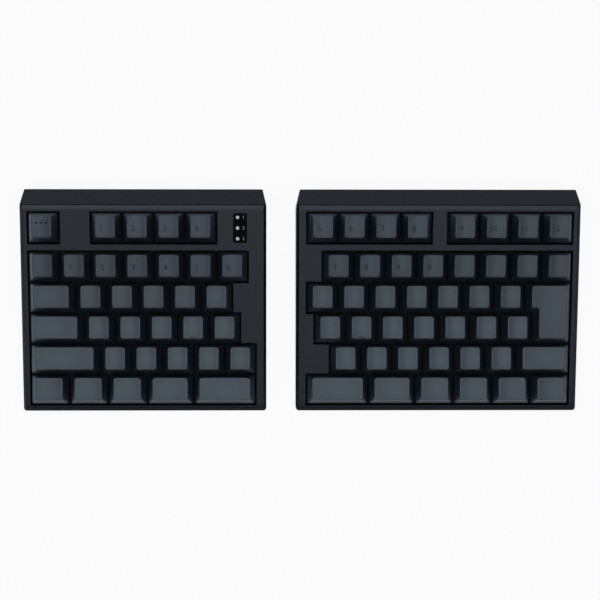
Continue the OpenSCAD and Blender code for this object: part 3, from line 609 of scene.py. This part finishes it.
def homing_bar(edges, row):
    """A bar with round ends near the front of a cap, sunk to about half its thickness: rings along u,
    (u, v, w) = (s L + r sin b, r cos b cos t, r cos b sin t), where s is the sign of b."""
    height, middle = cap_top(edges, row)
    spot = np.array([middle[0], edges[2] + lean_front + bar_back])
    level = float(height(spot)) - bar_sink
    bend = np.radians(np.linspace(-90, 90, bar_rings + 2))[1:-1]
    along = np.sign(bend) * bar_reach + bar_radius * np.sin(bend)
    thick = bar_radius * np.cos(bend)
    turn = np.linspace(0, 2 * np.pi, bar_sides, endpoint=False)
    u = spot[0] + np.repeat(along[:, None], bar_sides, 1)
    v = spot[1] + thick[:, None] * np.cos(turn)
    w = level + thick[:, None] * np.sin(turn)
    rings = np.stack([u, v, w], -1)
    ends = [[spot[0] + s * (bar_reach + bar_radius), spot[1], level] for s in (-1, 1)]
    return closed_stack(rings, *ends)


print("stem length in mm:", round((stem_tip - stem_foot) / mm, 1))

# %% [markdown]
# ## All the keys
# The table says which caps belong to each CAD part: the row they stand in, and the left edge and
# width of each cap in key units, counted from the part's own left edge. The place of the first cap is
# measured on the CAD part itself, so the scene can't drift away from the frame. A cap, its stems and its
# bar become one piece that takes the CAD part's place and moves with its body.

# %% The key table and the pieces
rng = np.random.default_rng(7)
tone_spread = 0.03
polish_share, polish_depth = 0.25, unit / 5
stepped_narrow = 0.25 * unit


def run(count, width=1.0):
    """Caps side by side: the left edge and the width of each, in units."""
    return [(i * width, width) for i in range(count)]


key_table = {
    "escape_key": (5, run(1)), "left_function_keys": (5, run(4)), "left_number_keys": (4, run(7)),
    "tab_key": (3, run(1, 1.5)), "left_upper_keys": (3, run(5)), "lock_key": (2, run(1, 1.75)),
    "left_home_keys": (2, [(0, 1), (1, 1), (2, 1), (4, 1)]), "left_homing_key": (2, run(1)),
    "left_shift_key": (1, run(1, 2.25)), "left_lower_keys": (1, run(5)),
    "left_bottom_key_1": (0, run(1, 1.25)), "left_bottom_key_2": (0, run(1, 1.25)),
    "left_bottom_key_3": (0, run(1, 1.25)), "left_bottom_key_4": (0, run(1, 1.5)),
    "left_space_key": (0, run(1, 2)), "right_inner_function_keys": (5, run(4)),
    "right_outer_function_keys": (5, run(4)), "right_number_keys": (4, run(8)),
    "right_upper_keys": (3, run(7)), "right_home_keys": (2, [(0, 1), *[(i, 1) for i in range(2, 7)]]),
    "right_homing_key": (2, run(1)), "right_lower_keys": (1, run(6)), "right_shift_key": (1, run(1, 1.75)),
    "right_space_key": (0, run(1, 2)), "right_bottom_key_2": (0, run(1, 1.5)),
    "right_bottom_key_3": (0, run(1, 1.25)), "right_bottom_key_4": (0, run(1, 1.25)),
    "right_bottom_key_5": (0, run(1, 1.25)), "right_bottom_key_6": (0, run(1, 1.25)),
    "enter_key": (3, [(0, 1.5)]),
}
guided = ("left_shift_key", "left_space_key", "right_space_key")
caps_of = {}
rim_of = {}


def make_keys(node, row, spans):
    """One piece for a bank of keys: caps, stems and bars on the deck, moved to the world at the end."""
    low, high = deck_box(node)
    rim_of[node] = low[2] + rim_level - stem_foot
    caps_of[node] = []
    surfaces, polish, tone, part = [], [], [], []
    for start, width in spans:
        left = low[0] + start * unit
        edges = [left, left + width * unit - cap_gap, low[1], high[1]]
        if node == "enter_key":
            step = (low[1] + high[1]) / 2 + cap_gap / 2
            edges = [left + stepped_narrow, high[0], low[1], high[1], step, left]
        caps_of[node].append(edges)
        shell = keycap(edges, row)
        surfaces.append(shell)
        height, middle = cap_top(edges, row)
        off = (shell[0][:, :2] - middle) / np.array([(edges[1] - edges[0]) * polish_share, polish_depth])
        on_top = shell[0][:, 2] > height(shell[0][:, :2]) - roll
        polish.append(np.exp(-(off ** 2).sum(1)) * on_top)
        part.append(np.zeros(len(shell[1]), int))
        centre = np.array([(edges[0] + edges[1]) / 2, (edges[2] + edges[3]) / 2])
        stems = stem(centre, stem_half, bored=True)
        if node in guided:
            for side in (-guide_offset, guide_offset):
                stems += stem(centre + [side, 0], guide_half)
        if node == "enter_key":
            for side in (-guide_offset, guide_offset):
                stems += stem(centre + [0, side], guide_half[::-1])
        if "homing" in node:
            bar = homing_bar(edges, row)
            surfaces.append(bar)
            polish.append(np.ones(len(bar[0])))
            part.append(np.zeros(len(bar[1]), int))
        surfaces += stems
        polish += [np.zeros(len(s[0])) for s in stems]
        part += [np.ones(len(s[1]), int) for s in stems]
        shade = 1 + tone_spread * rng.standard_normal()
        tone += [np.full(len(s[0]), shade) for s in surfaces[len(tone):]]
    points, faces = join(surfaces)
    world = to_world(points[:, 0], points[:, 1], points[:, 2] + rim_of[node])
    piece = new_piece("caps_" + node, world, faces, [cap_finish, stem_finish])
    for name, values in (("polish", polish), ("tone", tone)):
        layer = piece.data.attributes.new(name, "FLOAT", "POINT")
        layer.data.foreach_set("value", np.concatenate(values).astype(np.float32))
    piece.data.polygons.foreach_set("material_index", np.concatenate(part).astype(np.int32))
    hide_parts(node)
    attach(piece, body_of[node])
    return piece


key_pieces = {node: make_keys(node, *entry) for node, entry in key_table.items()}
print("key pieces:", len(key_pieces), "caps:", sum(len(c) for c in caps_of.values()))

# %% [markdown]
# ## Finishes for the CAD parts
# Parts whose CAD shape is right stay as they are and only change their finish. Everything under the
# caps is dressed too, because the parts are kept apart from this picture and may be seen on their own.

# %% Dress the CAD parts
case_low, case_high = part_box("left_top_case")
ridge_back, ridge_band = 10.6 * mm, 1.4 * mm
ridge_front = case_high[1] - ridge_back
ridge_wear = ((0.15, 0.0), (0.45, 1.0), (0.8, 1.0), (1.0, 0.0))
ridge_smoother = -0.18
# Painted shade: the top case's steep faces and its front lip get less gloss, so they mirror less and stay dark.
lip_width, lip_shade_share = 6 * mm, 0.25
steep_z, level_z, steep_shade_gloss = 0.72, 0.82, 0.05


def worn_ridge():
    """The case's satin, smoother on the band along the ridge, where hands lift and slide the case: the
    roughness falls between two values of Y and rises again behind the ridge. Faces that stand steeper
    than the facet, and the lip at the front, get less gloss: painted shade that keeps them dark."""
    mat = case_finish.copy()
    mat.name = "satin_top_case"
    tree = mat.node_tree
    shader = tree.nodes["Principled BSDF"]
    coords = tree.nodes.new("ShaderNodeTexCoord")
    place = tree.nodes.new("ShaderNodeSeparateXYZ")
    facing = tree.nodes.new("ShaderNodeSeparateXYZ")
    node_link(tree, coords.outputs["Object"], place.inputs[0])
    node_link(tree, coords.outputs["Normal"], facing.inputs[0])
    wear = tree.nodes.new("ShaderNodeValToRGB")
    band = (ridge_front - 2 * ridge_band, ridge_front + ridge_band)
    node_link(tree, map_range(tree, place.outputs["Y"], band, (0, 1)), wear.inputs[0])
    wear.color_ramp.interpolation = "EASE"
    for position, worn in ridge_wear:
        stop = wear.color_ramp.elements.new(position)
        stop.color = (worn, worn, worn, 1)
    wear.color_ramp.elements.remove(wear.color_ramp.elements[0])
    wear.color_ramp.elements.remove(wear.color_ramp.elements[-1])
    smooth = tree.nodes.new("ShaderNodeMath")
    smooth.operation = "MULTIPLY_ADD"
    smooth.inputs[1].default_value = ridge_smoother
    node_link(tree, wear.outputs[0], smooth.inputs[0])
    node_link(tree, shader.inputs["Roughness"].links[0].from_socket, smooth.inputs[2])
    node_link(tree, smooth.outputs[0], shader.inputs["Roughness"])
    # Painted shade: the gloss falls on steep faces and on the lip at the front.
    full_gloss = shader.inputs["Specular IOR Level"].default_value
    gloss = tree.nodes.new("ShaderNodeMath")
    gloss.operation = "MULTIPLY"
    shade_by_slope = map_range(tree, facing.outputs["Z"], (steep_z, level_z), (steep_shade_gloss, full_gloss))
    lip = (case_low[1], case_low[1] + lip_width)
    shade_by_lip = map_range(tree, place.outputs["Y"], lip, (lip_shade_share, 1))
    node_link(tree, shade_by_slope, gloss.inputs[0])
    node_link(tree, shade_by_lip, gloss.inputs[1])
    node_link(tree, gloss.outputs[0], shader.inputs["Specular IOR Level"])
    return mat


top_case_finish = worn_ridge()
board_finish = grainy("board_mask", (0.012, 0.045, 0.024), 0.2, (0.3, 0.42), 900, 12e-6, gloss=0.5,
                      mottle=260)
window_finish = grainy("smoked_window", (0.0022, 0.0026, 0.0034), 0.2, (0.45, 0.55), 1200, 2e-6,
                       gloss=0.012)
lamp_finish = grainy("milky_lamp", (0.56, 0.58, 0.61), 0.08, (0.25, 0.4), 2400, 5e-6, gloss=0.3,
                     mottle=700)
finish_of = {
    "top_case": top_case_finish, "bottom_case": case_finish, "switch_plate": plate_finish,
    "circuit_board": board_finish, "board_parts": chip_finish, "switch_housings": housing_finish,
    "switch_springs": spring_finish, "stabilizers": stab_finish, "socket": socket_finish,
    "rubber_feet": foot_finish, "plate_screws": black_screw_finish, "case_screws": screw_finish,
    "window": window_finish, "light_guides": window_finish, "leg": leg_finish,
}
dressed = 0
for name, part in nodes.items():
    finish = next((f for word, f in finish_of.items() if word in name), None)
    if finish is None:
        continue
    part.data.materials.clear()
    part.data.materials.append(finish)
    dressed += 1
print("CAD parts dressed:", dressed)

# %% [markdown]
# ## Soft edges
# A moulding has no knife edges: the tool rounds them by a fraction of a millimetre, and that thin
# round catches the light. CAD leaves these edges sharp, because a fillet this small only costs faces
# there. Here the shells and the folding feet are copied, joined into clean faces, and given a bevel along
# their long outer edges. The upright corners at the front of the shells get a larger one, and the narrow
# flat on the ridge is drawn out into a band. A weld clears the slivers that the bevel leaves.

# %% Rounded copies of the shells and feet
on_ridge = 0.02 * mm
corner_zone, corner_round, corner_drop = 3 * mm, 1.5 * mm, 0.5 * mm
edge_round, bevel_steps = 0.35 * mm, 4
shortest_on_top, shortest_elsewhere = 2.4 * mm, 6 * mm
same_point, weld_gap = 3e-6, 2e-6
flat_angle, edge_angle, soft_crease = math.radians(0.5), math.radians(15), math.radians(30)


def widen_ridge(form):
    """Draw the front edge of the narrow flat on the ridge forwards along the deck, so that the flat
    becomes a band that the light finds. Returns how many points moved."""
    line = [v for v in form.verts if abs(v.co.y - ridge_front) < on_ridge]
    deck_level = max(v.co.z for v in line)
    edge = [v for v in line if v.co.z > deck_level - on_ridge]
    for vertex in edge:
        vertex.co.y -= ridge_band
        vertex.co.z -= ridge_band * deck_sin / deck_cos
    return len(edge)


def softened(node):
    """A copy of a CAD part: doubles merged, flat areas joined, and a bevel on its long outer edges."""
    shortest = shortest_on_top if node.endswith("_top_case") else shortest_elsewhere
    form = bmesh.new()
    form.from_mesh(nodes[node].data)
    bmesh.ops.remove_doubles(form, verts=form.verts[:], dist=same_point)
    bmesh.ops.dissolve_limit(form, angle_limit=flat_angle, verts=form.verts[:], edges=form.edges[:])
    if node.endswith("_top_case"):
        print(node, "ridge points moved:", widen_ridge(form))
    weight = form.edges.layers.float.new("bevel_weight_edge")
    (left, front, _), (right, _, _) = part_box(node)
    count = 0
    for edge in form.edges:
        if not edge.is_convex or edge.calc_face_angle(0) < edge_angle:
            continue
        ends = [v.co for v in edge.verts]
        at_corner = node.endswith("_case") and all(
            min(p.x - left, right - p.x) < corner_zone and p.y - front < corner_zone for p in ends)
        if at_corner and abs(ends[0].z - ends[1].z) > corner_drop:
            edge[weight] = 1.0
            count += 1
        elif edge.calc_length() > shortest:
            edge[weight] = edge_round / corner_round
            count += 1
    mesh = bpy.data.meshes.new("soft_" + node)
    form.to_mesh(mesh)
    form.free()
    mesh.polygons.foreach_set("use_smooth", np.ones(len(mesh.polygons), bool))
    mesh.set_sharp_from_angle(angle=soft_crease)
    mesh.materials.append(nodes[node].data.materials[0])
    piece = bpy.data.objects.new("soft_" + node, mesh)
    scene.collection.objects.link(piece)
    bevel = piece.modifiers.new("rolled_edge", "BEVEL")
    bevel.limit_method = "WEIGHT"
    bevel.width = corner_round
    bevel.segments = bevel_steps
    bevel.use_clamp_overlap = False
    weld = piece.modifiers.new("joined_points", "WELD")
    weld.merge_threshold = weld_gap
    level = piece.modifiers.new("level_faces", "WEIGHTED_NORMAL")
    level.mode = "FACE_AREA"
    level.keep_sharp = True
    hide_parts(node)
    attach(piece, body_of[node])
    return count


soft_nodes = [n for n in nodes if n.endswith(("_top_case", "_bottom_case", "_leg"))]
print("rounded edges:", {n: softened(n) for n in soft_nodes})

# %% [markdown]
# ## Faint marks
# The key tops carry marks in a dye that is hardly darker than the plastic. The marks here are plain
# numbers on the number and function rows and three short bars on the corner key; the other tops stay
# bare. A number is a flat text turned into a mesh, laid on the dished top point by point, and given a
# little thickness so that it is a solid film and not a loose sheet.

# %% Numbers and bars on the key tops
film = 0.05 * mm
film_lift = 0.2 * film
number_size, number_spot, number_steps = 4.8 * mm, (0.32, 0.42), 4
bars_size, bars_spot = (1.7 * mm, 0.9 * mm, 3.0 * mm), (0.5, 0.66)
bar_end = 0.45


def written(text, size):
    """Flat points and faces of a text in the built-in font, centred on the origin."""
    curve = bpy.data.curves.new("writing", "FONT")
    curve.body = text
    curve.size = size
    curve.align_x, curve.align_y = "CENTER", "CENTER"
    curve.resolution_u = number_steps
    holder = bpy.data.objects.new("writing", curve)
    scene.collection.objects.link(holder)
    bpy.context.view_layer.update()
    mesh = bpy.data.meshes.new_from_object(holder.evaluated_get(bpy.context.evaluated_depsgraph_get()))
    points = np.empty(len(mesh.vertices) * 3)
    mesh.vertices.foreach_get("co", points)
    faces = [list(f.vertices) for f in mesh.polygons]
    bpy.data.objects.remove(holder)
    bpy.data.curves.remove(curve)
    bpy.data.meshes.remove(mesh)
    return points.reshape(-1, 3)[:, :2], faces


def short_bars(count, length, width, pitch):
    """Flat bars with round ends, side by side round the origin."""
    bar = rounded(rectangle(length / 2, width / 2), bar_end * width)
    shift = (np.arange(count) - (count - 1) / 2) * pitch
    points = np.concatenate([bar + [x, 0] for x in shift])
    faces = (np.arange(count)[:, None] * len(bar) + np.arange(len(bar))).tolist()
    return points, faces


def film_piece(name, sheets, finish, body):
    """Flat sheets of (points, faces) in the world as one piece, with Solidify for the film's thickness."""
    piece = new_piece(name, *join(sheets), [finish])
    form = bmesh.new()
    form.from_mesh(piece.data)
    bmesh.ops.remove_doubles(form, verts=form.verts[:], dist=weld_gap)
    form.to_mesh(piece.data)
    form.free()
    thick = piece.modifiers.new("film", "SOLIDIFY")
    thick.thickness = film
    thick.offset = 0
    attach(piece, body)
    return piece


def mark_caps(node, flats, share_u, share_v, finish):
    """Lay a flat shape, or None, on each cap of a part, its middle at shares of the top's width and
    depth."""
    row = key_table[node][0]
    sheets = []
    for edges, flat in zip(caps_of[node], flats):
        if flat is None:
            continue
        height, _ = cap_top(edges, row)
        spot = np.array([
            edges[0] + lean_side + share_u * (edges[1] - edges[0] - 2 * lean_side),
            edges[2] + lean_front + share_v * (edges[3] - edges[2] - lean_front - lean_back)])
        laid = flat[0] + spot
        level = height(laid) + rim_of[node] + film_lift
        sheets.append((to_world(laid[:, 0], laid[:, 1], level), flat[1]))
    return film_piece("marks_" + node, sheets, finish, body_of[node])


marked = {
    "left_function_keys": range(1, 5), "right_inner_function_keys": range(5, 9),
    "right_outer_function_keys": range(9, 13), "left_number_keys": [None, 1, 2, 3, 4, 5, 6],
    "right_number_keys": [7, 8, 9, 0, None, None, None, None],
}
for node, numbers in marked.items():
    flats = [None if n is None else written(str(n), number_size) for n in numbers]
    mark_caps(node, flats, *number_spot, mark_finish)
mark_caps("escape_key", [short_bars(3, *bars_size)], *bars_spot, dark_mark_finish)
print("marked keys:", sum(n is not None for numbers in marked.values() for n in numbers) + 1)

# %% [markdown]
# ## The indicator strip
# Three light guides end in low milky domes beside plain numbers printed on the smoked strip. A dome
# is a profile turned about its axis: rings whose radius and height follow a shallow arc.

# %% Lamp domes and strip numbers
dome_rise, dome_root, dome_share = 0.22 * mm, 0.3 * mm, 0.7
dome_turns, dome_lift = 32, np.radians([0, 0, 20, 40, 60, 78])
strip_number_size = 3.0 * mm


def dome(spot, radius, base):
    """A shallow closed dome: rings of radius r cos t at height base + rise sin t, with a flat underside."""
    turn = np.linspace(0, 2 * np.pi, dome_turns, endpoint=False)
    ring_r = radius * np.cos(dome_lift)
    ring_w = base + dome_rise * np.sin(dome_lift)
    ring_w[0] -= dome_root
    rings = np.stack([spot[0] + ring_r[:, None] * np.cos(turn), spot[1] + ring_r[:, None] * np.sin(turn),
                      np.repeat(ring_w[:, None], len(turn), 1)], -1)[::-1]
    return closed_stack(rings, [*spot, base + dome_rise], [*spot, base - dome_root])


guide_low, guide_high = deck_box("indicator_light_guides")
_, strip_high = deck_box("indicator_window")
guide_radius = (guide_high[0] - guide_low[0]) / 2
guide_u = (guide_high[0] + guide_low[0]) / 2
guide_v = np.linspace(guide_high[1] - guide_radius, guide_low[1] + guide_radius, 3)
domes = [dome((guide_u, v), dome_share * guide_radius, guide_high[2]) for v in guide_v]
points, faces = join(domes)
lamps = new_piece("lamp_domes", to_world(*points.T), faces, [lamp_finish])
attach(lamps, "left_half")
sheets = []
for number, v in zip("123", guide_v):
    flat, faces = written(number, strip_number_size)
    flat = flat + [(guide_u + guide_radius + strip_high[0]) / 2, v]
    level = np.full(len(flat), strip_high[2] + film_lift)
    sheets.append((to_world(flat[:, 0], flat[:, 1], level), faces))
film_piece("strip_numbers", sheets, strip_mark_finish, "left_half")
print("lamp radius in mm:", round(guide_radius / mm, 2), "strip and guide tops in mm:",
      np.round(np.array([strip_high[2], guide_high[2]]) / mm, 2).tolist())
